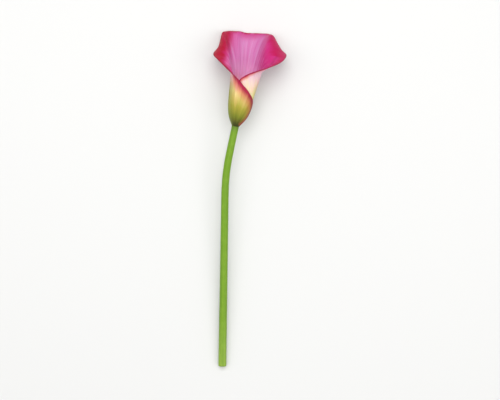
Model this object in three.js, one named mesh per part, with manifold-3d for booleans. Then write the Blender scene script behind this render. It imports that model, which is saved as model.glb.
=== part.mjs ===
// An arum lily flower, picked with its stem and laid on its back on a flat surface.
// The spathe is one leaf-like sheet rolled into a tube whose flaps pass each other at the front,
// and it opens above into a limb whose rim rolls over backwards. The spadix stands inside the tube.
// Millimetres. X is right, Y runs from the cut end of the stem to the flower, Z is up, and the
// flower rests on two low places of the rolled rim and on the cut end, all three on Z = 0.

import * as THREE from 'three';
import { mergeVertices } from 'three/addons/utils/BufferGeometryUtils.js';
import Module from 'manifold-3d';

// --- How the flower lies ---------------------------------------------------------------------
const BLOOM_FOOT = new THREE.Vector3(-11.84, 60.48, 20.2); // where stem and spathe meet
const LEAN = 12; // degrees that the tube leans to the right of the stem
const LIFT = 4.92; // degrees that the flower end is raised by the rolled rim

// --- Stem ------------------------------------------------------------------------------------
const STEM_LENGTH = 200;
const STEM_RADIUS_TOP = 2.95;
const STEM_RADIUS_FOOT = 3.3;
const STEM_BEND_START = 18; // distance below the bloom where the lean starts to straighten
const STEM_BEND_LENGTH = 44;
const STEM_LEAN_FOOT = 1; // degrees
const STEM_SIDES = 18;
const STEM_STEPS = 26;

// --- Spathe: tube ----------------------------------------------------------------------------
const TUBE_FOOT_RADIUS = 2.5;
const TUBE_SWELL = 6.3; // added to the foot radius over the first part of the height
const TUBE_SWELL_HEIGHT = 8;
const TUBE_SWELL_POWER = 1.2;
const TUBE_WIDEN = 0.0016; // radius gained per square of the height
const SPIRAL = 1.6; // radius lost in one full turn, which lets the flaps pass each other
const SPIRAL_FOOT_SHARE = 0.62; // share of the spiral at the very foot
const SPIRAL_HEIGHT = 8;

// --- Spathe: rim -----------------------------------------------------------------------------
// One row for each place along the edge, from the foot of the outer (left) flap round the limb
// to the foot of the inner (right) flap: angle from the back towards the right, radius (null on
// the tube), height above the foot, direction of the edge (0 up the tube, 90 outwards, 180 back
// down) and height at which the column starts to flare. Degrees and millimetres.
const RIM = [
  [-236, null, 3, 0, 3],
  [-255, null, 8, 0, 8],
  [-262, null, 15, 0, 15],
  [-250, null, 22, 0, 22],
  [-215, null, 28.5, 0, 28.5],
  [-180, null, 34, 6, 34],
  [-155, 12.6, 38.6, 30, 26],
  [-130, 17.2, 43.4, 62, 28],
  [-105, 24, 49.8, 92, 31],
  [-86, 27.5, 52.8, 118, 34],
  [-64, 27.9, 56.8, 152, 36],
  [-38, 30.3, 61.2, 197, 38],
  [-17, 25.3, 65, 194, 40],
  [0, 23.4, 65.4, 203, 40],
  [17, 25.3, 66.2, 194, 40],
  [39, 30.6, 66.4, 193, 40],
  [62, 33, 65.8, 146, 38],
  [84, 32.5, 63.6, 114, 37],
  [105, 29.5, 58.5, 92, 35],
  [127, 24.5, 53.2, 70, 32],
  [152, 18, 47.6, 48, 29],
  [180, 13.2, 42.6, 22, 27],
  [206, null, 37, 0, 37],
  [214, null, 26, 0, 26],
  [208, null, 12, 0, 12],
  [196, null, 3, 0, 3],
];
const RIM_STEPS = 40; // points on the smooth curve between two rows
const LIMB_SHIFT = -5; // the limb sits a little left of the tube's axis
const LIMB_SHIFT_START = 36;
const LIMB_SHIFT_HEIGHT = 45;
const PULL_FOOT = 0.55; // how far a flaring column holds the tube's direction
const PULL_FOOT_ROLL = 0.25;
const PULL_RIM = 0.42; // how far it holds the rim's direction
const PULL_RIM_ROLL = 0.6;
const FULL_ROLL = 150; // degrees of edge direction that count as fully rolled
const ROLL_LENGTH = 0.35; // extra length of a rolled column, for the spacing of the rows
const CUSP_LENGTH = 9; // the pointed tip at the middle of the back
const CUSP_WIDTH = 4.5; // degrees
const CUSP_START = 0.8; // share of a flaring column after which the tip is drawn out
const CUSP_DENSITY = 2; // closer columns at the tip
const CUSP_DENSITY_WIDTH = 7; // degrees

// --- Spathe: sheet ---------------------------------------------------------------------------
const SHEET_THICK = 1;
const SHEET_THIN = 0.62; // at the rim and at the foot
const SHEET_FOOT_SHARE = 0.3; // share of the column over which the foot thickens
const SHEET_RIM_SHARE = 0.45; // share of the column over which the rim thins out
const SHEET_COLUMNS = 64;
const SHEET_ROWS = 27;
const PROBE = 1e-3; // step on the sheet for finding its direction

// --- Foot of the spathe: the solid receptacle on which it and the spadix grow -----------------
const RECEPTACLE = [
  [0, 0],
  [2.9, 0],
  [2.95, 0.7],
  [3.3, 1.5],
  [3.55, 2.2],
  [0, 2.2],
];
const RECEPTACLE_SIDES = 28;

// --- Spadix ----------------------------------------------------------------------------------
const GAP = 0.3; // between the pieces that grow together
const SPADIX_FOOT = 2.2 + GAP;
const SPADIX_PROFILE = [
  [1.9, 0],
  [2.1, 1.5],
  [2.45, 5],
  [2.55, 12],
  [2.55, 20],
  [2.4, 26],
  [1.9, 30],
  [1.1, 32.4],
];
const SPADIX_TIP = 33.4;
const SPADIX_SIDES = 20;
const SPADIX_STEPS = 30;
const FLORET_DEPTH = 0.12;
const FLORET_TURNS = 10;
const FLORET_PITCH = 2.6;

const degrees = THREE.MathUtils.degToRad;
const smooth = (x) => THREE.MathUtils.smoothstep(x, 0, 1);

// Radius of the tube's middle surface at a height, and how fast it grows there.
function tubeRadius(height) {
  const swell = 1 - Math.exp(-((height / TUBE_SWELL_HEIGHT) ** TUBE_SWELL_POWER));
  return TUBE_FOOT_RADIUS + TUBE_SWELL * swell + TUBE_WIDEN * height * height;
}

function tubeSlope(height) {
  const x = height / TUBE_SWELL_HEIGHT;
  const rate = (TUBE_SWELL_POWER / TUBE_SWELL_HEIGHT) * x ** (TUBE_SWELL_POWER - 1);
  return TUBE_SWELL * rate * Math.exp(-(x ** TUBE_SWELL_POWER)) + 2 * TUBE_WIDEN * height;
}

// Smooth curve through the rows of the rim (Catmull-Rom, all five columns alike).
function smoothRim() {
  const rows = RIM.map((row) => [row[0], row[1] ?? tubeRadius(row[2]), row[2], row[3], row[4]]);
  const first = rows[0].map((value, k) => 2 * value - rows[1][k]);
  const last = rows.at(-1).map((value, k) => 2 * value - rows.at(-2)[k]);
  const all = [first, ...rows, last];
  const curve = [];
  for (let i = 1; i < all.length - 2; i += 1) {
    for (let step = 0; step < RIM_STEPS; step += 1) {
      const t = step / RIM_STEPS;
      curve.push(all[i].map((b, k) => {
        const a = all[i - 1][k];
        const c = all[i + 1][k];
        const d = all[i + 2][k];
        const square = (2 * a - 5 * b + 4 * c - d) * t * t;
        const cube = (3 * b - a - 3 * c + d) * t * t * t;
        return 0.5 * (2 * b + (c - a) * t + square + cube);
      }));
    }
  }
  curve.push(rows.at(-1));
  return curve;
}

const rim = smoothRim();

// Distance along the rim to each point of the curve, stretched near the tip.
const rimDistance = [0];
for (let i = 1; i < rim.length; i += 1) {
  const [a0, r0, h0] = rim[i - 1];
  const [a1, r1, h1] = rim[i];
  const dx = r1 * Math.sin(degrees(a1)) - r0 * Math.sin(degrees(a0));
  const dz = r1 * Math.cos(degrees(a1)) - r0 * Math.cos(degrees(a0));
  const nearTip = Math.exp(-(((a0 + a1) / 2 / CUSP_DENSITY_WIDTH) ** 2));
  rimDistance.push(rimDistance[i - 1] + Math.hypot(dx, h1 - h0, dz) * (1 + CUSP_DENSITY * nearTip));
}

// The rim's five values at a share u of its length.
function rimAt(u) {
  const wanted = THREE.MathUtils.clamp(u, 0, 1) * rimDistance.at(-1);
  let i = rimDistance.findIndex((distance) => distance >= wanted);
  i = Math.max(i, 1);
  const t = (wanted - rimDistance[i - 1]) / (rimDistance[i] - rimDistance[i - 1]);
  return rim[i].map((value, k) => THREE.MathUtils.lerp(rim[i - 1][k], value, t));
}

// Radius and height on the column that ends at a rim place, at a share v from the foot.
// The column follows the tube up to its flare and then bends out along a Bezier curve to the rim.
function columnAt([angle, radius, height, direction, flareAt], v) {
  const flare = Math.min(flareAt, height);
  const start = tubeRadius(flare);
  const reach = Math.hypot(radius - start, height - flare);
  const roll = (direction / FULL_ROLL) ** 2;
  const cusp = CUSP_LENGTH * Math.exp(-((angle / CUSP_WIDTH) ** 2));
  const share = flare / (flare + reach * (1 + ROLL_LENGTH * roll) + cusp);
  if (v <= share) {
    const h = (flare * v) / share;
    return [tubeRadius(h), h];
  }
  const u = (v - share) / (1 - share);
  const slope = tubeSlope(flare);
  const hold = (PULL_FOOT * reach * (1 + PULL_FOOT_ROLL * roll)) / Math.hypot(slope, 1);
  const lead = PULL_RIM * reach * (1 + PULL_RIM_ROLL * roll);
  const edge = [Math.sin(degrees(direction)), Math.cos(degrees(direction))];
  const curve = new THREE.CubicBezierCurve(
    new THREE.Vector2(start, flare),
    new THREE.Vector2(start + slope * hold, flare + hold),
    new THREE.Vector2(radius - edge[0] * lead, height - edge[1] * lead),
    new THREE.Vector2(radius, height),
  );
  const point = curve.getPoint(u);
  const drawn = cusp * smooth((u - CUSP_START) / (1 - CUSP_START));
  return [point.x + edge[0] * drawn, point.y + edge[1] * drawn];
}

// A point on the middle of the sheet: u along the rim, v from the foot to the rim.
function sheetPoint(u, v) {
  const place = rimAt(u);
  const foot = THREE.MathUtils.lerp(RIM[0][0], RIM.at(-1)[0], u);
  const angle = THREE.MathUtils.lerp(foot, place[0], v);
  const [radius, height] = columnAt(place, v);
  const grown = THREE.MathUtils.lerp(SPIRAL_FOOT_SHARE, 1, smooth(height / SPIRAL_HEIGHT));
  const r = radius - (SPIRAL * angle * grown) / 360;
  const shift = LIMB_SHIFT * smooth((height - LIMB_SHIFT_START) / LIMB_SHIFT_HEIGHT);
  return new THREE.Vector3(
    r * Math.sin(degrees(angle)) + shift,
    height,
    -r * Math.cos(degrees(angle)),
  );
}

// The outward direction of the sheet.
function sheetNormal(u, v) {
  const u0 = Math.max(u - PROBE, 0);
  const u1 = Math.min(u + PROBE, 1);
  const v0 = Math.max(v - PROBE, 0);
  const v1 = Math.min(v + PROBE, 1);
  const along = sheetPoint(u1, v).sub(sheetPoint(u0, v));
  const up = sheetPoint(u, v1).sub(sheetPoint(u, v0));
  return up.cross(along).normalize();
}

function sheetThickness(v) {
  const foot = smooth(v / SHEET_FOOT_SHARE);
  const edge = smooth((1 - v) / SHEET_RIM_SHARE);
  return THREE.MathUtils.lerp(SHEET_THIN, SHEET_THICK, Math.min(foot, edge));
}

// The sheet as a closed solid: an outer and an inner face joined along its four edges.
function sheetGeometry() {
  const across = SHEET_COLUMNS + 1;
  const up = SHEET_ROWS + 1;
  const positions = [];
  for (const side of [0.5, -0.5]) {
    for (let i = 0; i < across; i += 1) {
      for (let j = 0; j < up; j += 1) {
        const u = i / SHEET_COLUMNS;
        const v = j / SHEET_ROWS;
        const point = sheetPoint(u, v);
        point.addScaledVector(sheetNormal(u, v), side * sheetThickness(v));
        positions.push(point.x, point.y, point.z);
      }
    }
  }
  const outer = (i, j) => i * up + j;
  const inner = (i, j) => across * up + i * up + j;
  const faces = [];
  const vertex = (n) => new THREE.Vector3().fromArray(positions, 3 * n);
  const quad = (a, b, c, d) => {
    const straight = vertex(a).distanceTo(vertex(c)) <= vertex(b).distanceTo(vertex(d));
    faces.push(...(straight ? [a, b, c, a, c, d] : [a, b, d, b, c, d]));
  };
  for (let i = 0; i < SHEET_COLUMNS; i += 1) {
    for (let j = 0; j < SHEET_ROWS; j += 1) {
      quad(outer(i, j), outer(i, j + 1), outer(i + 1, j + 1), outer(i + 1, j));
      quad(inner(i, j), inner(i + 1, j), inner(i + 1, j + 1), inner(i, j + 1));
    }
    quad(outer(i, 0), outer(i + 1, 0), inner(i + 1, 0), inner(i, 0));
    quad(outer(i + 1, SHEET_ROWS), outer(i, SHEET_ROWS), inner(i, SHEET_ROWS), inner(i + 1, SHEET_ROWS));
  }
  for (let j = 0; j < SHEET_ROWS; j += 1) {
    quad(outer(0, j + 1), outer(0, j), inner(0, j), inner(0, j + 1));
    const i = SHEET_COLUMNS;
    quad(outer(i, j), outer(i, j + 1), inner(i, j + 1), inner(i, j));
  }
  const geometry = new THREE.BufferGeometry();
  geometry.setAttribute('position', new THREE.Float32BufferAttribute(positions, 3));
  geometry.setIndex(faces);
  return geometry;
}

// Closed meshes to solids and back, for joining and cutting.
const wasm = await Module();
wasm.setup();

function toSolid(geometry) {
  const bare = geometry.clone();
  bare.deleteAttribute('normal');
  bare.deleteAttribute('uv');
  const merged = mergeVertices(bare);
  return new wasm.Manifold(new wasm.Mesh({
    numProp: 3,
    vertProperties: Float32Array.from(merged.attributes.position.array),
    triVerts: Uint32Array.from(merged.index.array),
  }));
}

function toGeometry(solid) {
  const mesh = solid.getMesh();
  const geometry = new THREE.BufferGeometry();
  geometry.setAttribute('position', new THREE.BufferAttribute(mesh.vertProperties, 3));
  geometry.setIndex(new THREE.BufferAttribute(mesh.triVerts, 1));
  geometry.computeVertexNormals();
  return geometry;
}

// Everything below the surface, which is taken off where a piece rests on it.
const BELOW_SIZE = 600;
const below = new THREE.BoxGeometry(BELOW_SIZE, BELOW_SIZE, BELOW_SIZE);
below.translate(0, 0, -BELOW_SIZE / 2);

function restOnSurface(geometry) {
  return toGeometry(toSolid(geometry).subtract(toSolid(below)));
}

// From the tube's own frame, its axis along Y and its foot at zero, to the flower's frame.
const bloomPose = new THREE.Matrix4()
  .makeTranslation(BLOOM_FOOT)
  .multiply(new THREE.Matrix4().makeRotationZ(-degrees(LEAN)))
  .multiply(new THREE.Matrix4().makeRotationX(degrees(LIFT)));

// Spathe: the rolled sheet grown together with the receptacle at its foot.
function spatheGeometry() {
  const profile = RECEPTACLE.map(([r, h]) => new THREE.Vector2(r, h));
  const receptacle = new THREE.LatheGeometry(profile, RECEPTACLE_SIDES);
  const joined = toGeometry(toSolid(sheetGeometry()).add(toSolid(receptacle)));
  joined.applyMatrix4(bloomPose);
  return restOnSurface(joined);
}

// Spadix: a blunt finger whose surface is packed with small florets on crossing spirals.
function spadixGeometry() {
  const outline = new THREE.SplineCurve(SPADIX_PROFILE.map(([r, h]) => new THREE.Vector2(r, h)));
  const side = outline.getSpacedPoints(SPADIX_STEPS);
  const profile = [new THREE.Vector2(0, 0), ...side, new THREE.Vector2(0, SPADIX_TIP)];
  const geometry = new THREE.LatheGeometry(profile, SPADIX_SIDES);
  const position = geometry.attributes.position;
  const point = new THREE.Vector3();
  for (let i = 0; i < position.count; i += 1) {
    point.fromBufferAttribute(position, i);
    const r = Math.hypot(point.x, point.z);
    const turn = Math.round((Math.atan2(point.x, point.z) * SPADIX_SIDES) / (2 * Math.PI));
    const angle = (turn * 2 * Math.PI) / SPADIX_SIDES;
    const wave = (point.y * 2 * Math.PI) / FLORET_PITCH;
    const floret = Math.cos(FLORET_TURNS * angle) * Math.cos(wave);
    const grown = r > 0 && point.y > 0 ? r + FLORET_DEPTH * (floret - 1) : r;
    if (r > 0) {
      point.x *= grown / r;
      point.z *= grown / r;
    }
    position.setXYZ(i, point.x, point.y + SPADIX_FOOT, point.z);
  }
  geometry.applyMatrix4(bloomPose);
  return toGeometry(toSolid(geometry));
}

// Middle line of the stem, from its top down to the cut end: the lean of the tube straightens
// out a little below the flower, and the slope towards the surface stays the same.
function stemLine() {
  const points = [];
  const point = new THREE.Vector3(0, -GAP, 0).applyMatrix4(bloomPose);
  const step = (STEM_LENGTH - GAP) / STEM_STEPS;
  for (let i = 0; i <= STEM_STEPS; i += 1) {
    points.push(point.clone());
    const straightened = smooth(((i + 0.5) * step - STEM_BEND_START) / STEM_BEND_LENGTH);
    const lean = degrees(THREE.MathUtils.lerp(LEAN, STEM_LEAN_FOOT, straightened));
    const flat = step * Math.cos(degrees(LIFT));
    point.x -= flat * Math.sin(lean);
    point.y -= flat * Math.cos(lean);
    point.z -= step * Math.sin(degrees(LIFT));
  }
  return points;
}

// Stem: a round, slightly tapered rod lofted along its middle line, cut square at the end.
function stemGeometry() {
  const line = stemLine();
  const profile = [new THREE.Vector2(0, 0)];
  for (let i = 0; i <= STEM_STEPS; i += 1) {
    const radius = THREE.MathUtils.lerp(STEM_RADIUS_TOP, STEM_RADIUS_FOOT, i / STEM_STEPS);
    profile.push(new THREE.Vector2(radius, -i));
  }
  profile.push(new THREE.Vector2(0, -STEM_STEPS));
  const geometry = new THREE.LatheGeometry(profile.reverse(), STEM_SIDES);
  const position = geometry.attributes.position;
  for (let n = 0; n < position.count; n += 1) {
    const i = Math.round(-position.getY(n));
    const before = line[Math.max(i - 1, 0)];
    const after = line[Math.min(i + 1, STEM_STEPS)];
    const axis = before.clone().sub(after).normalize();
    const right = axis.clone().cross(new THREE.Vector3(0, 0, 1)).normalize();
    const up = right.clone().cross(axis);
    const place = line[i].clone();
    place.addScaledVector(right, position.getX(n));
    place.addScaledVector(up, position.getZ(n));
    position.setXYZ(n, place.x, place.y, place.z);
  }
  return restOnSurface(geometry);
}

function piece(name, geometry, color, roughness) {
  const material = new THREE.MeshStandardMaterial({ color, roughness, metalness: 0 });
  const mesh = new THREE.Mesh(geometry, material);
  mesh.name = name;
  return mesh;
}

const flower = new THREE.Group();
flower.add(piece('stem', stemGeometry(), 0x7fa83a, 0.5));
flower.add(piece('spathe', spatheGeometry(), 0xd0478c, 0.45));
flower.add(piece('spadix', spadixGeometry(), 0xe8d27a, 0.7));

export default flower;
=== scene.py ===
"""An arum lily flower, picked with its stem and laid on its back on a pale surface.

The frame is the part's own, in metres: X to the right, Y from the cut end of the stem to the
flower, Z up from the surface. The view and the light are given in metres. The pieces are drawn in
millimetres and turned to metres once, where each mesh is made.
"""
import math

import bpy
import numpy as np
from mathutils import Matrix, Vector


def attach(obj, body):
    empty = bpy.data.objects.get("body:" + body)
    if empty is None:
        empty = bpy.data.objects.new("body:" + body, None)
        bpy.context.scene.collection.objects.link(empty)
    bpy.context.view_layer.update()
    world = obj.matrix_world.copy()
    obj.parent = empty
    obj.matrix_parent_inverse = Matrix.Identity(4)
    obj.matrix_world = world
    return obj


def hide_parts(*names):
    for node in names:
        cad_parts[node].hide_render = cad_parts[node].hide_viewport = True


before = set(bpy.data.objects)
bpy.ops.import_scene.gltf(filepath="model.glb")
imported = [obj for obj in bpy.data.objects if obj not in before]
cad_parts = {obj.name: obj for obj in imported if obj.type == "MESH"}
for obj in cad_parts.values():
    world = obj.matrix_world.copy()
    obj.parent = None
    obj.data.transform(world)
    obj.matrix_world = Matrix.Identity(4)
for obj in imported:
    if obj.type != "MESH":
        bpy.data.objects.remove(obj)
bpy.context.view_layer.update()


# --- The view ------------------------------------------------------------------------------
# The flower was photographed upright, from a little above its mouth. Lying down it is seen from
# straight above, tipped a little to the flower's end, which gives the same view of the mouth.
VIEW_DISTANCE = 1.25
VIEW_TIP = math.radians(3)
VIEW_CENTRE = Vector((0, 0, 0.012))
VIEW_LENS = 110
VIEW_SENSOR = 36

eye = bpy.data.cameras.new("Eye")
eye.lens = VIEW_LENS
eye.sensor_width = VIEW_SENSOR
eye.clip_start = 0.05
eye.clip_end = 20
camera = bpy.data.objects.new("Eye", eye)
bpy.context.collection.objects.link(camera)
camera.location = VIEW_CENTRE + Vector(
    (0, math.sin(VIEW_TIP) * VIEW_DISTANCE, math.cos(VIEW_TIP) * VIEW_DISTANCE)
)
camera.rotation_euler = (-VIEW_TIP, 0, 0)
bpy.context.scene.camera = camera


# --- The surface and the light -------------------------------------------------------------
# A plain pale table, lit by three large soft panels and an even sky, as in a studio.
FLOOR_SIZE = 6.0
FLOOR_COLOUR = (0.7, 0.7, 0.69, 1)
FLOOR_ROUGHNESS = 0.7
SKY_STRENGTH = 0.52
PANELS = {
    "Main_panel": dict(at=(0.0, 0.5, 1.3), size=1.0, watts=11.5),
    "Right_panel": dict(at=(0.75, -0.2, 1.1), size=1.0, watts=5.0),
    "Left_panel": dict(at=(-0.75, 0.0, 1.1), size=1.0, watts=4.0),
}

floor_mesh = bpy.data.meshes.new("Table")
half = FLOOR_SIZE / 2
floor_mesh.from_pydata(
    [(-half, -half, 0), (half, -half, 0), (half, half, 0), (-half, half, 0)], [], [(0, 1, 2, 3)]
)
floor = bpy.data.objects.new("Table", floor_mesh)
bpy.context.collection.objects.link(floor)
floor_paint = bpy.data.materials.new("Table_paint")
floor_paint.use_nodes = True
floor_shader = floor_paint.node_tree.nodes["Principled BSDF"]
floor_shader.inputs["Base Color"].default_value = FLOOR_COLOUR
floor_shader.inputs["Roughness"].default_value = FLOOR_ROUGHNESS
floor_mesh.materials.append(floor_paint)

for name, panel in PANELS.items():
    light = bpy.data.lights.new(name, "AREA")
    light.shape = "DISK"
    light.size = panel["size"]
    light.energy = panel["watts"]
    lamp = bpy.data.objects.new(name, light)
    bpy.context.collection.objects.link(lamp)
    lamp.location = panel["at"]
    lamp.rotation_euler = (-Vector(panel["at"])).to_track_quat("-Z", "Y").to_euler()

sky = bpy.data.worlds.new("Soft_sky")
sky.use_nodes = True
glow = sky.node_tree.nodes["Background"]
glow.inputs["Color"].default_value = (1, 1, 1, 1)
glow.inputs["Strength"].default_value = SKY_STRENGTH
bpy.context.scene.world = sky
bpy.context.scene.view_settings.view_transform = "Standard"  # colours show as they are painted


# --- Stem ----------------------------------------------------------------------------------
# The flower stalk: a solid, juicy, round rod of leaf tissue that tapers a little upwards, bends
# below the flower and grows straight into the foot of the spathe. It was cut square at the end.
MM = 0.001
BLOOM_FOOT = (-11.84, 60.48, 20.2)  # where stem and spathe meet
LEAN = math.radians(12)  # of the flower, to the right
LIFT = math.radians(4.92)  # the stem rises from its cut end, which rests on the surface
STEM_LENGTH = 200.0
STEM_RADIUS_TOP = 2.95
STEM_RADIUS_FOOT = 3.3
STEM_BEND_START = 18.0  # below the flower
STEM_BEND_LENGTH = 44.0
STEM_LEAN_FOOT = math.radians(1)  # what is left of the lean below the bend
STEM_INTO_FLOWER = 0.6  # hidden in the foot of the spathe
STEM_STEPS = 240
STEM_SIDES = 72
STEM_RIBS = 14
STEM_RIB_HEIGHT = 0.045
CUT_RINGS = 6
CUT_FIRST = 0.94  # share of the radius, so the edge of the cut is a little rounded
CUT_LAST = 0.02
CUT_DISH = 0.35  # how far the pith dries in behind the cut
CUT_DISH_FROM = 0.9  # shares of the radius over which it sinks
CUT_DISH_OVER = 0.5
WAX_ROUGHNESS = 0.3
STEM_GREENS = [
    (0.0, "#55701a"),
    (0.03, "#719812"),
    (0.35, "#6d9710"),
    (0.8, "#759a1c"),
    (1.0, "#8caa3e"),
]

bloom_pose = (
    Matrix.Translation(BLOOM_FOOT)
    @ Matrix.Rotation(-LEAN, 4, "Z")
    @ Matrix.Rotation(LIFT, 4, "X")
)


def smooth(x):
    """Ease from 0 to 1."""
    x = np.clip(x, 0, 1)
    return x * x * (3 - 2 * x)


def posed(points):
    """Points of the flower, base at the origin and tube along Y, to their place."""
    turn = np.array(bloom_pose.to_3x3())
    return points @ turn.T + np.array(bloom_pose.translation)


def grow(name, points, faces, marks):
    """A smooth mesh object from points in millimetres, with one number per point in each mark."""
    points = np.array(points, dtype=float)
    points[:, 2] = np.maximum(points[:, 2], 0.0)  # nothing reaches below the surface
    mesh = bpy.data.meshes.new(name)
    mesh.from_pydata((points * MM).tolist(), [], [tuple(int(i) for i in f) for f in faces])
    for label, values in marks.items():
        layer = mesh.attributes.new(label, "FLOAT", "POINT")
        layer.data.foreach_set("value", np.asarray(values, dtype=np.float32))
    mesh.polygons.foreach_set("use_smooth", [True] * len(mesh.polygons))
    mesh.update()
    piece = bpy.data.objects.new(name, mesh)
    bpy.context.collection.objects.link(piece)
    return piece


def ring_faces(rings, sides):
    """Quads between closed rings of points that follow one another."""
    faces = []
    for i in range(rings - 1):
        for k in range(sides):
            a, b = i * sides + k, i * sides + (k + 1) % sides
            faces.append((a, b, b + sides, a + sides))
    return faces


# Middle line from inside the flower's foot down to the cut end.
steps = np.linspace(-STEM_INTO_FLOWER, STEM_LENGTH, STEM_STEPS)
middle = [np.array(posed(np.array([[0.0, STEM_INTO_FLOWER, 0.0]])))[0]]
for start, stop in zip(steps[:-1], steps[1:]):
    straightened = smooth(((start + stop) / 2 - STEM_BEND_START) / STEM_BEND_LENGTH)
    lean = LEAN + (STEM_LEAN_FOOT - LEAN) * straightened
    flat = (stop - start) * math.cos(LIFT)
    middle.append(
        middle[-1]
        - np.array([flat * math.sin(lean), flat * math.cos(lean), (stop - start) * math.sin(LIFT)])
    )
middle = np.array(middle)
along = np.gradient(middle, axis=0)
along /= np.linalg.norm(along, axis=1, keepdims=True)
right = np.cross(np.array([0.0, 0.0, 1.0]), along)
right /= np.linalg.norm(right, axis=1, keepdims=True)
up = np.cross(along, right)

# Rings down the stem, then the rounded edge and the dished face of the cut.
round_angle = np.linspace(0, 2 * math.pi, STEM_SIDES, endpoint=False)
stem_points, stem_length, stem_depth = [], [], []
for i, place in enumerate(middle):
    share = i / (STEM_STEPS - 1)
    radius = STEM_RADIUS_TOP + (STEM_RADIUS_FOOT - STEM_RADIUS_TOP) * share
    rib = STEM_RIB_HEIGHT * (np.cos(STEM_RIBS * round_angle) - 1) / 2
    r = radius + rib
    ring = place + np.outer(r * np.cos(round_angle), right[i]) + np.outer(
        r * np.sin(round_angle), up[i]
    )
    stem_points.append(ring)
    stem_length.append(np.full(STEM_SIDES, share * STEM_LENGTH))
    stem_depth.append(np.zeros(STEM_SIDES))
end, end_right, end_up, end_along = middle[-1], right[-1], up[-1], along[-1]
for share in np.linspace(CUT_FIRST, CUT_LAST, CUT_RINGS):
    dish = CUT_DISH * smooth((CUT_DISH_FROM - share) / CUT_DISH_OVER)
    r = STEM_RADIUS_FOOT * share
    ring = end - end_along * dish + np.outer(r * np.cos(round_angle), end_right) + np.outer(
        r * np.sin(round_angle), end_up
    )
    stem_points.append(ring)
    stem_length.append(np.full(STEM_SIDES, STEM_LENGTH))
    stem_depth.append(np.full(STEM_SIDES, 1 - share))
rings = len(stem_points)
stem_faces = ring_faces(rings, STEM_SIDES)
stem_faces.append(tuple(range(STEM_SIDES - 1, -1, -1)))
last = (rings - 1) * STEM_SIDES
stem_faces.append(tuple(range(last, last + STEM_SIDES)))
stem = grow(
    "Stem",
    np.concatenate(stem_points),
    stem_faces,
    {
        "down": np.concatenate(stem_length),
        "around": np.tile(1 - np.abs(round_angle / math.pi - 1), rings),  # there and back: no seam
        "inward": np.concatenate(stem_depth),
    },
)


def paint(code):
    """A hex colour as linear red, green, blue and alpha."""
    parts = [int(code[i : i + 2], 16) / 255 for i in (1, 3, 5)]
    return tuple(p / 12.92 if p <= 0.04045 else ((p + 0.055) / 1.055) ** 2.4 for p in parts) + (1,)


def add(tree, kind, values=None, **settings):
    """A node with its settings; an input's value may be the output that feeds it."""
    node = tree.nodes.new(kind)
    for key, value in settings.items():
        setattr(node, key, value)
    for key, value in (values or {}).items():
        if isinstance(value, bpy.types.NodeSocket):
            tree.links.new(value, node.inputs[key])
        else:
            node.inputs[key].default_value = value
    return node


def mark(tree, name):
    """The mesh's own number of that name."""
    return add(tree, "ShaderNodeAttribute", attribute_name=name).outputs["Fac"]


def fade(tree, value, start, stop, low=0.0, high=1.0):
    """Ease from low to high as the value goes from start to stop."""
    node = add(
        tree,
        "ShaderNodeMapRange",
        {"Value": value, "From Min": start, "From Max": stop, "To Min": low, "To Max": high},
        interpolation_type="SMOOTHSTEP",
    )
    return node.outputs["Result"]


def maths(tree, operation, a, b=0.0):
    """One sum on two numbers."""
    return add(tree, "ShaderNodeMath", {0: a, 1: b}, operation=operation).outputs[0]


def times(tree, a, b):
    """Product of two numbers."""
    return maths(tree, "MULTIPLY", a, b)


def share_of(tree, value, whole):
    """The value as a share of the whole."""
    return maths(tree, "DIVIDE", value, whole)


def largest(tree, first, *others):
    """The largest of some numbers."""
    for other in others:
        first = maths(tree, "MAXIMUM", first, other)
    return first


def blend(tree, amount, first, second):
    """Colour between the first and the second."""
    node = tree.nodes.new("ShaderNodeMix")
    node.data_type = "RGBA"  # this kind has its amount at input 0 and its colours at 6 and 7
    for socket, value in zip((node.inputs[0], *node.inputs[6:8]), (amount, first, second)):
        if isinstance(value, bpy.types.NodeSocket):
            tree.links.new(value, socket)
        else:
            socket.default_value = value
    return node.outputs[2]


def ramp(tree, value, stops):
    """Colours along a value, from pairs of place and hex colour."""
    node = add(tree, "ShaderNodeValToRGB", {"Fac": value})
    band = node.color_ramp
    while len(band.elements) < len(stops):
        band.elements.new(0.5)
    for element, (place, code) in zip(band.elements, stops):
        element.position = place
        element.color = paint(code)
    return node.outputs["Color"]


def new_group(name, inputs, outputs):
    """A shader node group with named number inputs and outputs."""
    group = bpy.data.node_groups.new(name, "ShaderNodeTree")
    for label, value in inputs.items():
        socket = group.interface.new_socket(label, in_out="INPUT", socket_type="NodeSocketFloat")
        socket.default_value = value
    for label in outputs:
        group.interface.new_socket(label, in_out="OUTPUT", socket_type="NodeSocketFloat")
    return group, group.nodes.new("NodeGroupInput").outputs, group.nodes.new("NodeGroupOutput")


# Veins: long parallel strands in the tissue, seen as streaks of colour and felt as faint ridges.
veins, given, result = new_group(
    "Veins", {"Across": 0.0, "Along": 0.0, "Count": 100.0, "Stretch": 0.03}, ["Streak", "Ridge"]
)
VEIN_WANDER = 1.6  # how far a strand strays from its line, in radians
FAINTEST_VEIN = 0.15

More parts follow.
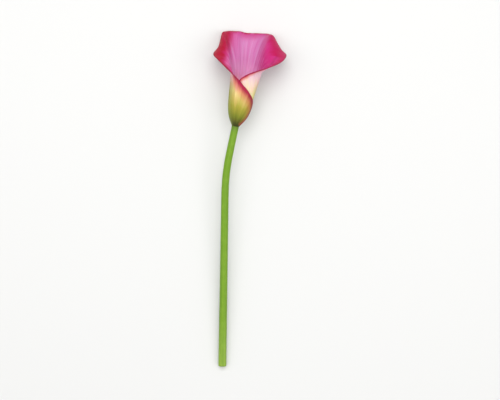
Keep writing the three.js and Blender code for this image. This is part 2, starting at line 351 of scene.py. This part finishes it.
strand = times(veins, given["Across"], given["Count"])
length = times(veins, given["Along"], given["Stretch"])
place = add(veins, "ShaderNodeCombineXYZ", {"X": strand, "Y": length}).outputs[0]
broad = add(veins, "ShaderNodeTexNoise", {"Vector": place, "Scale": 1.0, "Detail": 3.0})
wander = times(veins, maths(veins, "SUBTRACT", broad.outputs["Fac"], 0.5), VEIN_WANDER)
phase = maths(veins, "ADD", times(veins, strand, math.pi), wander)
ridge = maths(veins, "ABSOLUTE", maths(veins, "SINE", phase))
faint = add(veins, "ShaderNodeTexNoise", {"Vector": place, "Scale": 0.31, "Detail": 1.0})
strength = fade(veins, faint.outputs["Fac"], 0.35, 0.65, low=FAINTEST_VEIN)
veins.links.new(fade(veins, broad.outputs["Fac"], 0.32, 0.68), result.inputs["Streak"])
veins.links.new(times(veins, ridge, strength), result.inputs["Ridge"])

# Skin: the fine, slightly uneven grain of living plant tissue under its wax.
MOTTLE_SHARE = 0.06  # patches of tone are that much coarser than the cells

skin, given, result = new_group("Skin", {"Cells_per_metre": 2500.0}, ["Height", "Mottle"])
place = add(skin, "ShaderNodeTexCoord").outputs["Object"]
fine = given["Cells_per_metre"]
cells = add(skin, "ShaderNodeTexVoronoi", {"Vector": place, "Scale": fine})
coarse = times(skin, fine, MOTTLE_SHARE)
cloud = add(skin, "ShaderNodeTexNoise", {"Vector": place, "Scale": coarse, "Detail": 4.0})
skin.links.new(cells.outputs["Distance"], result.inputs["Height"])
skin.links.new(cloud.outputs["Fac"], result.inputs["Mottle"])


def use(tree, group, **values):
    """A group placed in a material with its own values."""
    node = tree.nodes.new("ShaderNodeGroup")
    node.node_tree = group
    for key, value in values.items():
        if isinstance(value, bpy.types.NodeSocket):
            tree.links.new(value, node.inputs[key])
        else:
            node.inputs[key].default_value = value
    return node.outputs


def tissue(name, soak, reach, depth):
    """A material of living tissue: light soaks in by that share, and reaches that deep in metres,
    by the given parts for red, green and blue. Its tree and its shader are ready to be fed."""
    material = bpy.data.materials.new(name)
    material.use_nodes = True
    shader = material.node_tree.nodes["Principled BSDF"]
    shader.inputs["Subsurface Weight"].default_value = soak
    shader.inputs["Subsurface Radius"].default_value = reach
    shader.inputs["Subsurface Scale"].default_value = depth
    return material, material.node_tree, shader


def wax(shader, shine, coat):
    """A thin wax over the tissue."""
    shader.inputs["Specular IOR Level"].default_value = shine
    shader.inputs["Coat Weight"].default_value = coat
    shader.inputs["Coat Roughness"].default_value = WAX_ROUGHNESS


def feel(tree, shader, roughness, height, depth):
    """Feed the shader's roughness and a bump of that depth in metres."""
    tree.links.new(roughness, shader.inputs["Roughness"])
    bump = add(tree, "ShaderNodeBump", {"Height": height, "Distance": depth, "Strength": 1.0})
    tree.links.new(bump.outputs["Normal"], shader.inputs["Normal"])


stem_tissue, tree, shader = tissue("Stem_tissue", 0.1, (0.4, 1.0, 0.2), 0.002)
down, around, inward = (mark(tree, name) for name in ("down", "around", "inward"))
strands = use(tree, veins, Across=around, Along=down, Count=13.0, Stretch=0.012)
grain = use(tree, skin, Cells_per_metre=3200.0)
green = ramp(tree, share_of(tree, down, STEM_LENGTH), STEM_GREENS)
streaked = blend(tree, times(tree, strands["Streak"], 0.45), green, paint("#547d12"))
mottled = fade(tree, grain["Mottle"], 0.4, 0.75, high=0.12)
pale = blend(tree, mottled, streaked, paint("#a2c24a"))
pith = blend(tree, fade(tree, grain["Height"], 0.2, 0.6), paint("#cdd39a"), paint("#a7b56c"))
shown = blend(tree, fade(tree, inward, 0.05, 0.2), pale, pith)
tree.links.new(shown, shader.inputs["Base Color"])
wax(shader, shine=0.3, coat=0.06)
relief = maths(
    tree, "ADD", times(tree, strands["Ridge"], 0.7), times(tree, grain["Height"], 0.3)
)
feel(tree, shader, fade(tree, grain["Mottle"], 0.3, 0.7, 0.38, 0.5), relief, 0.00008)
stem.data.materials.append(stem_tissue)
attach(stem, "root")
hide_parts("stem")


# --- Spadix --------------------------------------------------------------------------------
# The finger of tiny flowers that stands in the tube: a firm, blunt rod packed with rounded
# beads on crossing spirals. It grows from the floor of the tube on a short bare foot.
SPADIX_FOOT = 2.1
# Radius at a height, from the foot to just below the tip.
SPADIX_OUTLINE = [
    (1.9, 0),
    (2.1, 1.5),
    (2.45, 5),
    (2.55, 12),
    (2.55, 20),
    (2.4, 26),
    (1.9, 30),
    (1.1, 32.4),
    (0.45, 33.3),
]
SPADIX_TIP = 33.5
SPADIX_SMOOTHING = 7  # steps that the outline is averaged over
SPADIX_BARE = 2.5  # height of the bare foot
SPADIX_DRESSED = 1.5  # height over which the beads set in
BEAD_ROWS_UP = 34
BEADS_AROUND = 13
BEAD_HEIGHT = 0.3
BEAD_SUNK = 0.9  # share of a bead below the outline
BEAD_HALF_WIDTH = 0.56  # shares of a bead's place, so neighbours touch
BEAD_HALF_LENGTH = 0.6
BEAD_FULL_RADIUS = 2.0  # the beads get smaller where the spadix is thinner than this
SPADIX_YELLOWS = [(0.0, "#c5cf60"), (0.12, "#efd750"), (0.6, "#fbdc4c"), (1.0, "#fde676")]
SPADIX_SIDES = 104
SPADIX_STEPS = 205

outline = np.array(SPADIX_OUTLINE)
height = np.linspace(0, outline[-1, 1], SPADIX_STEPS)
radius = np.interp(height, outline[:, 1], outline[:, 0])
window = np.ones(SPADIX_SMOOTHING) / SPADIX_SMOOTHING
radius = np.convolve(np.pad(radius, SPADIX_SMOOTHING // 2, "edge"), window, "valid")
round_angle = np.linspace(0, 1, SPADIX_SIDES, endpoint=False)
row = height[:, None] / SPADIX_TIP * BEAD_ROWS_UP
level = np.round(row)
turn = round_angle[None, :] * BEADS_AROUND + 0.5 * (level % 2)  # rows set half a bead over
beside = turn - np.round(turn)
above = row - level
off_middle = (beside / BEAD_HALF_WIDTH) ** 2 + (above / BEAD_HALF_LENGTH) ** 2
bead = np.sqrt(np.clip(1 - off_middle, 0, 1))
dressed = smooth((height - SPADIX_BARE) / SPADIX_DRESSED)[:, None]
smaller = np.minimum(1, radius[:, None] / BEAD_FULL_RADIUS)
full = radius[:, None] + BEAD_HEIGHT * dressed * (bead - BEAD_SUNK) * smaller
angle = round_angle * 2 * math.pi
points = np.stack(
    [
        full * np.sin(angle),
        np.repeat(height[:, None] + SPADIX_FOOT, SPADIX_SIDES, axis=1),
        full * np.cos(angle),
    ],
    axis=-1,
).reshape(-1, 3)
count = SPADIX_STEPS * SPADIX_SIDES
points = np.vstack([points, [[0, SPADIX_FOOT, 0], [0, SPADIX_FOOT + SPADIX_TIP, 0]]])
faces = ring_faces(SPADIX_STEPS, SPADIX_SIDES)
for k in range(SPADIX_SIDES):
    after = (k + 1) % SPADIX_SIDES
    faces.append((count, after, k))
    top = count - SPADIX_SIDES
    faces.append((count + 1, top + k, top + after))
spadix = grow(
    "Spadix",
    posed(points),
    faces,
    {
        "bead": np.append((bead * dressed).ravel(), [0, 1]),
        "rise": np.append(np.repeat(height, SPADIX_SIDES), [0, SPADIX_TIP]),
    },
)
spadix_tissue, tree, shader = tissue("Spadix_florets", 0.1, (1.0, 0.7, 0.2), 0.001)
beads, rise = mark(tree, "bead"), mark(tree, "rise")
grain = use(tree, skin, Cells_per_metre=6000.0)
yellow = ramp(tree, share_of(tree, rise, SPADIX_TIP), SPADIX_YELLOWS)
dusted = blend(tree, fade(tree, grain["Mottle"], 0.45, 0.65, high=0.5), yellow, paint("#fff0a8"))
shown = blend(tree, fade(tree, beads, 0.0, 0.7), paint("#c49a24"), dusted)
tree.links.new(shown, shader.inputs["Base Color"])
feel(tree, shader, fade(tree, grain["Mottle"], 0.3, 0.7, 0.6, 0.75), grain["Height"], 0.00006)
spadix.data.materials.append(spadix_tissue)
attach(spadix, "root")
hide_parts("spadix")


# --- Spathe --------------------------------------------------------------------------------
# One thick, waxy leaf-like sheet, rolled into a tube whose left flap laps over the right one, and
# opening into a limb whose rim rolls over backwards. It grows from a small solid receptacle.
TUBE_FOOT_RADIUS = 2.5
TUBE_SWELL = 6.3  # added to the foot's radius over the first part of the height
TUBE_SWELL_HEIGHT = 8.0
TUBE_SWELL_POWER = 1.2
TUBE_WIDEN = 0.0016  # radius gained per square of the height
SPIRAL = 1.6  # radius lost in one full turn, so that the left flap laps over the right one
SPIRAL_FOOT_SHARE = 0.62  # share of the spiral at the very foot
SPIRAL_HEIGHT = 8.0
# Places along the edge, from the foot of the left flap to the foot of the right one: angle from
# the back, radius (None on the tube), height, direction of the edge, height of the flare's start.
RIM = [
    (-236, None, 3, 0, 3),
    (-255, None, 8, 0, 8),
    (-262, None, 15, 0, 15),
    (-250, None, 22, 0, 22),
    (-215, None, 28.5, 0, 28.5),
    (-180, None, 34, 6, 34),
    (-155, 12.6, 38.6, 30, 26),
    (-130, 17.2, 43.4, 62, 28),
    (-105, 24, 49.8, 92, 31),
    (-86, 27.5, 52.8, 118, 34),
    (-64, 27.9, 56.8, 152, 36),
    (-38, 30.3, 61.2, 197, 38),
    (-17, 25.3, 65, 194, 40),
    (0, 23.4, 65.4, 203, 40),
    (17, 25.3, 66.2, 194, 40),
    (39, 30.6, 66.4, 193, 40),
    (62, 33, 65.8, 146, 38),
    (84, 32.5, 63.6, 114, 37),
    (105, 29.5, 58.5, 92, 35),
    (127, 24.5, 53.2, 70, 32),
    (152, 18, 47.6, 48, 29),
    (180, 13.2, 42.6, 22, 27),
    (206, None, 37, 0, 37),
    (214, None, 26, 0, 26),
    (208, None, 12, 0, 12),
    (196, None, 3, 0, 3),
]
RIM_STEPS = 40
LIMB_SHIFT = -5.0  # the whole limb sits a little to the left
LIMB_SHIFT_START = 36.0
LIMB_SHIFT_HEIGHT = 45.0
PULL_FOOT = 0.55  # how far the tube's direction reaches into the flare, as a share of it
PULL_FOOT_ROLL = 0.25  # and how much further where the rim rolls over
PULL_RIM = 0.42  # the same for the rim's direction
PULL_RIM_ROLL = 0.6
FULL_ROLL = 150.0  # direction of the edge at which the rim counts as rolled over
ROLL_LENGTH = 0.35  # extra length of a rolled column, for the spacing of the rows
CUSP_LENGTH = 9.0  # the pointed tip at the middle of the back
CUSP_WIDTH = 4.5
CUSP_START = 0.8  # share of the flare at which the tip draws out
CUSP_DENSITY = 2.0  # columns stand closer near the tip
CUSP_DENSITY_WIDTH = 7.0
SHEET_THICK = 1.0
SHEET_THIN = 0.62  # at the rim and at the foot
SHEET_FOOT_SHARE = 0.3
SHEET_RIM_SHARE = 0.45
EDGE_ROUND = 0.31
EDGE_ROWS = 6
SHEET_COLUMNS = 360
SHEET_ROWS = 104
RIBS = 34
RIB_HEIGHT = 0.07
RIB_FROM_RIM = 6.0  # the ribs die out towards the rim and the foot
RIB_FROM_FOOT = 10.0
PROBE = 1e-3  # step along the sheet that finds its slope
LEAST_SHARE = 1e-9  # keeps clear of a division by zero
MARGIN_REACH = 68  # columns to each side that are searched for the nearest rim
FLAPS_FROM = 70.0  # degrees from the back
FLAPS_OVER = 70.0
CREASE_FROM = 52.0  # degrees from the back
CREASE_TO = 147.0
CREASE_WIDTH = 7.6
CREASE_FADE = 8.0
CREASE_SOFT = 0.06
CREASE_DEPTH = 1.3
CREASE_LEAST_WIDTH = 1e-3
RECEPTACLE = [(0, 0), (2.9, 0), (2.95, 0.7), (3.3, 1.5), (3.55, 2.2), (0, 2.2)]
RECEPTACLE_SIDES = 96
FAR_FROM_EDGE = 60.0  # what the receptacle's points say of their distance to the rim


def tube_radius(height):
    """Radius of the tube's middle surface at a height."""
    swell = 1 - np.exp(-((height / TUBE_SWELL_HEIGHT) ** TUBE_SWELL_POWER))
    return TUBE_FOOT_RADIUS + TUBE_SWELL * swell + TUBE_WIDEN * height**2


def tube_slope(height):
    """How fast that radius grows with the height."""
    x = height / TUBE_SWELL_HEIGHT
    rate = TUBE_SWELL_POWER / TUBE_SWELL_HEIGHT * x ** (TUBE_SWELL_POWER - 1)
    return TUBE_SWELL * rate * np.exp(-(x**TUBE_SWELL_POWER)) + 2 * TUBE_WIDEN * height


def smooth_rim():
    """Smooth curve through the places of the rim, and the distance along it."""
    rows = np.array([(a, tube_radius(h) if r is None else r, h, d, f) for a, r, h, d, f in RIM])
    rows = np.vstack([2 * rows[0] - rows[1], rows, 2 * rows[-1] - rows[-2]])
    t = (np.arange(RIM_STEPS) / RIM_STEPS)[:, None]
    curve = []
    for a, b, c, d in zip(rows[:-3], rows[1:-2], rows[2:-1], rows[3:]):
        square = (2 * a - 5 * b + 4 * c - d) * t**2
        cube = (3 * b - a - 3 * c + d) * t**3
        curve.append(0.5 * (2 * b + (c - a) * t + square + cube))
    curve = np.vstack(curve + [rows[-2][None, :]])
    turn = np.radians(curve[:, 0])
    place = np.stack([curve[:, 1] * np.sin(turn), curve[:, 2], curve[:, 1] * np.cos(turn)], axis=1)
    length = np.linalg.norm(np.diff(place, axis=0), axis=1)
    centre = (curve[1:, 0] + curve[:-1, 0]) / 2
    length *= 1 + CUSP_DENSITY * np.exp(-((centre / CUSP_DENSITY_WIDTH) ** 2))
    return curve, np.append(0, np.cumsum(length))


rim_curve, rim_distance = smooth_rim()


def sheet_point(u, v):
    """Points on the middle of the sheet and their angles from the back, u along the rim and v
    from the foot to the rim."""
    u, v = np.broadcast_arrays(np.clip(u, 0, 1), np.clip(v, 0, 1))
    wanted = u * rim_distance[-1]
    rim_angle, rim_radius, rim_height, direction, flare_at = (
        np.interp(wanted, rim_distance, rim_curve[:, k]) for k in range(5)
    )
    foot_angle = RIM[0][0] + (RIM[-1][0] - RIM[0][0]) * u
    turned = foot_angle + (rim_angle - foot_angle) * v
    flare = np.minimum(flare_at, rim_height)
    start = tube_radius(flare)
    reach = np.hypot(rim_radius - start, rim_height - flare)
    roll = (direction / FULL_ROLL) ** 2
    cusp = CUSP_LENGTH * np.exp(-((rim_angle / CUSP_WIDTH) ** 2))
    share = flare / (flare + reach * (1 + ROLL_LENGTH * roll) + cusp)
    # On the tube.
    on_tube = np.minimum(v / share, 1) * flare
    # On the flare: a Bezier curve from the tube's direction to the rim's direction.
    t = np.clip((v - share) / np.maximum(1 - share, LEAST_SHARE), 0, 1)
    slope = tube_slope(flare)
    hold = PULL_FOOT * reach * (1 + PULL_FOOT_ROLL * roll) / np.hypot(slope, 1)
    lead = PULL_RIM * reach * (1 + PULL_RIM_ROLL * roll)
    out, upward = np.sin(np.radians(direction)), np.cos(np.radians(direction))
    weights = (1 - t) ** 3, 3 * t * (1 - t) ** 2, 3 * t**2 * (1 - t), t**3
    radii = start, start + slope * hold, rim_radius - out * lead, rim_radius
    heights = flare, flare + hold, rim_height - upward * lead, rim_height
    drawn = cusp * smooth((t - CUSP_START) / (1 - CUSP_START))
    flared_radius = sum(w * r for w, r in zip(weights, radii)) + out * drawn
    flared_height = sum(w * h for w, h in zip(weights, heights)) + upward * drawn
    radius = np.where(v <= share, tube_radius(on_tube), flared_radius)
    height = np.where(v <= share, on_tube, flared_height)
    grown = SPIRAL_FOOT_SHARE + (1 - SPIRAL_FOOT_SHARE) * smooth(height / SPIRAL_HEIGHT)
    radius = radius - SPIRAL * turned * grown / 360
    shift = LIMB_SHIFT * smooth((height - LIMB_SHIFT_START) / LIMB_SHIFT_HEIGHT)
    turn = np.radians(turned)
    place = np.stack([radius * np.sin(turn) + shift, height, -radius * np.cos(turn)], axis=-1)
    return place, turned


def sheet_normal(u, v):
    """The outward direction of the sheet."""
    u0, u1, v0, v1 = np.clip([u - PROBE, u + PROBE, v - PROBE, v + PROBE], 0, 1)
    across = sheet_point(u1, v)[0] - sheet_point(u0, v)[0]
    upward = sheet_point(u, v1)[0] - sheet_point(u, v0)[0]
    normal = np.cross(upward, across)
    return normal / np.linalg.norm(normal, axis=-1, keepdims=True)


# Rows from the foot to the rim; the last few close in on the rim to round its edge.
columns = np.linspace(0, 1, SHEET_COLUMNS)
even = np.linspace(0, 1, SHEET_ROWS)
first = sheet_point(columns[:, None], even[None, :])[0]
column_length = np.linalg.norm(np.diff(first, axis=1), axis=2).sum(axis=1)[:, None]
edge_share = EDGE_ROUND / column_length
turn_in = np.linspace(0, math.pi / 2, EDGE_ROWS + 1)[1:]
body_rows = even[None, :] * (1 - edge_share)
edge_rows = 1 - edge_share * (1 - np.sin(turn_in))[None, :]
v = np.hstack([body_rows, edge_rows])
u = np.repeat(columns[:, None], v.shape[1], axis=1)
middle, turned = sheet_point(u, v)
normal = sheet_normal(u, v)
rows = v.shape[1]

step = np.linalg.norm(np.diff(middle, axis=1), axis=2)
to_rim = np.hstack([np.cumsum(step[:, ::-1], axis=1)[:, ::-1], np.zeros((SHEET_COLUMNS, 1))])
thick = SHEET_THIN + (SHEET_THICK - SHEET_THIN) * np.minimum(
    smooth(v / SHEET_FOOT_SHARE), smooth((1 - v) / SHEET_RIM_SHARE)
)
closeness = np.clip(1 - to_rim / EDGE_ROUND, 0, 1)
thick = thick * np.sqrt(1 - closeness**2)
rib = RIB_HEIGHT * np.sin(2 * math.pi * RIBS * u)
rib = rib * smooth(to_rim / RIB_FROM_RIM) * smooth(middle[..., 1] / RIB_FROM_FOOT)
middle = middle + normal * rib[..., None]
# The corner of the right lobe is creased: a shallow valley cuts it off from the rest.
crease_share = np.clip((turned - CREASE_FROM) / (CREASE_TO - CREASE_FROM), 0, 1)
crease_share = np.sin(math.pi * crease_share)
crease_width = CREASE_WIDTH * crease_share + CREASE_LEAST_WIDTH
rim_side = to_rim / crease_width
far_side = np.exp(-(to_rim - crease_width) / CREASE_FADE)
crease = -CREASE_SOFT * np.logaddexp(-rim_side / CREASE_SOFT, -far_side / CREASE_SOFT)
crease = crease_share * np.clip(crease, 0, 1)
middle = middle + normal * CREASE_DEPTH * crease[..., None]

outside = middle + normal * thick[..., None] / 2
inside = middle - normal * thick[..., None] / 2
grid = SHEET_COLUMNS * rows
outer = np.arange(grid).reshape(SHEET_COLUMNS, rows)
inner = outer + grid
inner[:, -1] = outer[:, -1]  # the two faces meet at the rim
faces = []


def quads(a, b, c, d):
    """One face for each place in four grids of corners."""
    faces.extend(np.stack([a.ravel(), b.ravel(), c.ravel(), d.ravel()], axis=1).tolist())


quads(outer[:-1, :-1], outer[:-1, 1:], outer[1:, 1:], outer[1:, :-1])
quads(inner[:-1, :-1], inner[1:, :-1], inner[1:, 1:], inner[:-1, 1:])
quads(outer[:-1, 0], outer[1:, 0], inner[1:, 0], inner[:-1, 0])
quads(outer[0, 1:-1], outer[0, :-2], inner[0, :-2], inner[0, 1:-1])
quads(outer[-1, :-2], outer[-1, 1:-1], inner[-1, 1:-1], inner[-1, :-2])
faces.append([outer[0, -1], outer[0, -2], inner[0, -2]])
faces.append([outer[-1, -2], outer[-1, -1], inner[-1, -2]])

# How far a place is from the brow, where the limb turns over: below zero on the rolled strip.
brow = np.take_along_axis(to_rim, middle[..., 1].argmax(axis=1)[:, None], axis=1)
brow_distance = to_rim - brow

# How far a place is from the rim: along its own column at the back, where the limb rolls over,
# and to the nearest stretch of the rim on the flaps, where the rim runs along the columns.
margin = np.empty((SHEET_COLUMNS, rows))
for i in range(SHEET_COLUMNS):
    near = middle[max(i - MARGIN_REACH, 0) : i + MARGIN_REACH, -1]
    gap = middle[i][:, None, :] - near[None, :, :]
    margin[i] = np.sqrt((gap**2).sum(axis=2)).min(axis=1)
margin = to_rim + (margin - to_rim) * smooth((np.abs(turned) - FLAPS_FROM) / FLAPS_OVER)

# The receptacle, a small turned plug that fills the foot of the tube.
plug_angle = np.linspace(0, 2 * math.pi, RECEPTACLE_SIDES, endpoint=False)
plug = np.array(
    [(r * math.sin(a), h, r * math.cos(a)) for r, h in RECEPTACLE[1:-1] for a in plug_angle]
)
plug_start = 2 * grid
plug_rings = len(RECEPTACLE) - 2
for face in ring_faces(plug_rings, RECEPTACLE_SIDES):
    faces.append([plug_start + i for i in face])
faces.append([plug_start + i for i in range(RECEPTACLE_SIDES)][::-1])
top = plug_start + (plug_rings - 1) * RECEPTACLE_SIDES
faces.append([top + i for i in range(RECEPTACLE_SIDES)])


def both(values, at_plug):
    """A mark for the two faces of the sheet and for the receptacle."""
    return np.concatenate([values.ravel(), values.ravel(), np.full(len(plug), at_plug)])


points = np.vstack([outside.reshape(-1, 3), inside.reshape(-1, 3), plug])
spathe = grow(
    "Spathe",
    posed(points),
    faces,
    {
        "column": both(u, 0.5),
        "turn": both(turned, 0),
        "rise": np.concatenate([middle[..., 1].ravel(), middle[..., 1].ravel(), plug[:, 1]]),
        "side": both(middle[..., 0], 0),
        "margin": both(margin, FAR_FROM_EDGE),
        "brow": both(brow_distance, FAR_FROM_EDGE),
        "crease": both(crease, 0),
        "inside": np.concatenate([np.zeros(grid), np.ones(grid), np.zeros(len(plug))]),
    },
)

# Colours at heights above the foot: the outside, the part of it that the left flap sheltered,
# and the throat.
SPATHE_TOP = 76.0
# The outside's two lowest stops, at the very foot, are dark painted shade.
OUTSIDE = [
    (0, "#232209"),
    (2.5, "#35330d"),
    (9, "#787d22"),
    (16, "#a59a36"),
    (22, "#ceb366"),
    (28, "#e9d18e"),
    (34, "#e6ad9c"),
    (42, "#e6a4bf"),
    (54, "#d883b6"),
    (70, "#c4569a"),
]
SHELTERED = [(21.28, "#f6f3a2"), (31.92, "#f6dcbd"), (45.6, "#f0d2de")]
THROAT = [(5, "#a4b848"), (20, "#e8ea86"), (30, "#f9efb8"), (37, "#f3cfc4"), (44, "#e08fba")]
BLOOM_MIDDLE = -3.5  # sideways place of the pale middle of the limb

spathe_skin, tree, shader = tissue("Spathe_skin", 0.35, (1.0, 0.4, 0.6), 0.002)
column, turn, rise, side, margin, brow, fold, is_inside = (
    mark(tree, name)
    for name in ("column", "turn", "rise", "side", "margin", "brow", "crease", "inside")
)
strands = use(tree, veins, Across=column, Along=rise, Count=70.0, Stretch=0.02)
threads = use(tree, veins, Across=column, Along=rise, Count=210.0, Stretch=0.05)
grain = use(tree, skin, Cells_per_metre=2600.0)
streak = strands["Streak"]
sway = maths(tree, "SUBTRACT", streak, 0.5)
from_back = maths(tree, "ABSOLUTE", turn)


def swayed(value, reach):
    """The value pushed to and fro by the strands, so that no colour ends on a clean line."""
    return maths(tree, "ADD", value, times(tree, sway, reach))


def by_height(height, stops):
    """Colours up the spathe."""
    shares = [(place / SPATHE_TOP, code) for place, code in stops]
    return ramp(tree, share_of(tree, height, SPATHE_TOP), shares)


# Outside: painted shade makes the very foot a dark olive; above it green, through yellow and cream
# to pink and magenta on the limb.
level = swayed(rise, fade(tree, rise, 5.0, 35.0, 2.0, 6.0))
outside_colour = by_height(level, OUTSIDE)
right_flap = fade(tree, column, 0.67, 0.81)
sheltered = times(tree, right_flap, fade(tree, level, 62, 40, high=0.8))
outside_colour = blend(tree, sheltered, outside_colour, by_height(level, SHELTERED))
veined = times(tree, threads["Streak"], 0.2)
outside_colour = blend(tree, veined, outside_colour, paint("#8f9a3a"))
# The back and sides of the tube are a darker olive than the front, but for the right flap:
# partly the back's own greener colour, partly painted shade on the sides that turn away.
greener_back_and_side_shade = times(tree, fade(tree, from_back, 158, 105), fade(tree, level, 44, 26))
greener_back_and_side_shade = times(tree, greener_back_and_side_shade, fade(tree, right_flap, 0.0, 1.0, 0.85, 0.15))
outside_colour = blend(tree, greener_back_and_side_shade, outside_colour, paint("#838d33"))
# A wide blushed band follows the free edge of the left flap, a narrow one the rest of the rim.
left_flap = fade(tree, column, 0.34, 0.16)
band = share_of(tree, margin, fade(tree, left_flap, 0.0, 1.0, low=0.4))
band = share_of(tree, band, fade(tree, rise, 0.0, 20.0, low=0.3))
band = swayed(band, 1.1)
low_down = fade(tree, rise, 36.0, 14.0)
peach = blend(tree, low_down, paint("#d0665c"), paint("#a5542f"))
crimson = blend(tree, low_down, paint("#a81a42"), paint("#80231f"))
peachy = times(tree, fade(tree, band, 10.0, 3.0, high=0.8), fade(tree, rise, 54, 40))
outside_colour = blend(tree, peachy, outside_colour, peach)
outside_colour = blend(tree, fade(tree, band, 5.0, 1.2), outside_colour, crimson)

# Inside: pale lilac pink on the back wall, magenta on the lobes and under the brow, crimson at
# the rim and in the left corner, and cream deep in the throat.
off_centre = maths(tree, "ABSOLUTE", maths(tree, "SUBTRACT", side, BLOOM_MIDDLE))
off_centre = swayed(off_centre, 2.2)
near_brow = swayed(brow, 2.5)
near_rim = swayed(margin, 1.6)
pale_colour = blend(tree, streak, paint("#c87fb1"), paint("#c05f9c"))
veined = times(tree, threads["Streak"], 0.2)
pale_colour = blend(tree, veined, pale_colour, paint("#c69ac8"))
# Painted light: the pale wall is lightened low down, where the valley's shade darkens it.
pale_colour = blend(tree, fade(tree, rise, 55, 40, high=0.6), pale_colour, paint("#e2a2cb"))
blush = largest(
    tree,
    fade(tree, off_centre, 8.0, 18.5),
    fade(tree, swayed(from_back, 20.0), 85, 135),
    fade(tree, near_brow, 10.0, 1.0, high=0.75),
    times(tree, fade(tree, side, 5.0, 13.0), fade(tree, rise, 50, 60)),
)
inside_colour = blend(tree, blush, pale_colour, paint("#bd2675"))
deep = fade(tree, level, 44, 27)
inside_colour = blend(tree, deep, inside_colour, by_height(rise, THROAT))
under_brow = share_of(tree, near_brow, fade(tree, off_centre, 6.0, 20.0, 2.2, 7.5))
flush = largest(
    tree,
    fade(tree, under_brow, 1.0, -0.1),
    fade(tree, near_rim, 4.5, 0.8),
    times(tree, fade(tree, near_rim, 7.0, 1.5), fade(tree, off_centre, 10.0, 20.0)),
    times(tree, fade(tree, side, -15.0, -22.0), fade(tree, rise, 50, 62, high=0.9)),
)
inside_crimson = blend(tree, fade(tree, side, -22, 22), paint("#a6062e"), paint("#b20b50"))
inside_colour = blend(tree, flush, inside_colour, inside_crimson)
# Painted shade: the crease on the right lobe is darkened to a deep crimson.
painted_crease_shade = fade(tree, fold, 0.75, 1.0, high=0.4)
inside_colour = blend(tree, painted_crease_shade, inside_colour, paint("#8c0f49"))

# Both faces share a darker line along the rim and the withered tip.
spathe_colour = blend(tree, is_inside, outside_colour, inside_colour)
rim_line = fade(tree, margin, 0.9, 0.25, high=0.8)
spathe_colour = blend(tree, rim_line, spathe_colour, paint("#8e1a3f"))
near_tip = times(tree, fade(tree, from_back, 7.0, 3.0), fade(tree, margin, 8.0, 4.0))
spathe_colour = blend(tree, near_tip, spathe_colour, paint("#4f4a26"))
tree.links.new(spathe_colour, shader.inputs["Base Color"])
wax(shader, shine=0.2, coat=0.04)
relief = maths(
    tree, "ADD", times(tree, threads["Ridge"], 0.5), times(tree, strands["Ridge"], 0.35)
)
relief = maths(tree, "ADD", relief, times(tree, grain["Height"], 0.15))
feel(tree, shader, fade(tree, threads["Streak"], 0.0, 1.0, 0.42, 0.54), relief, 0.00007)
spathe.data.materials.append(spathe_skin)
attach(spathe, "root")
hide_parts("spathe")
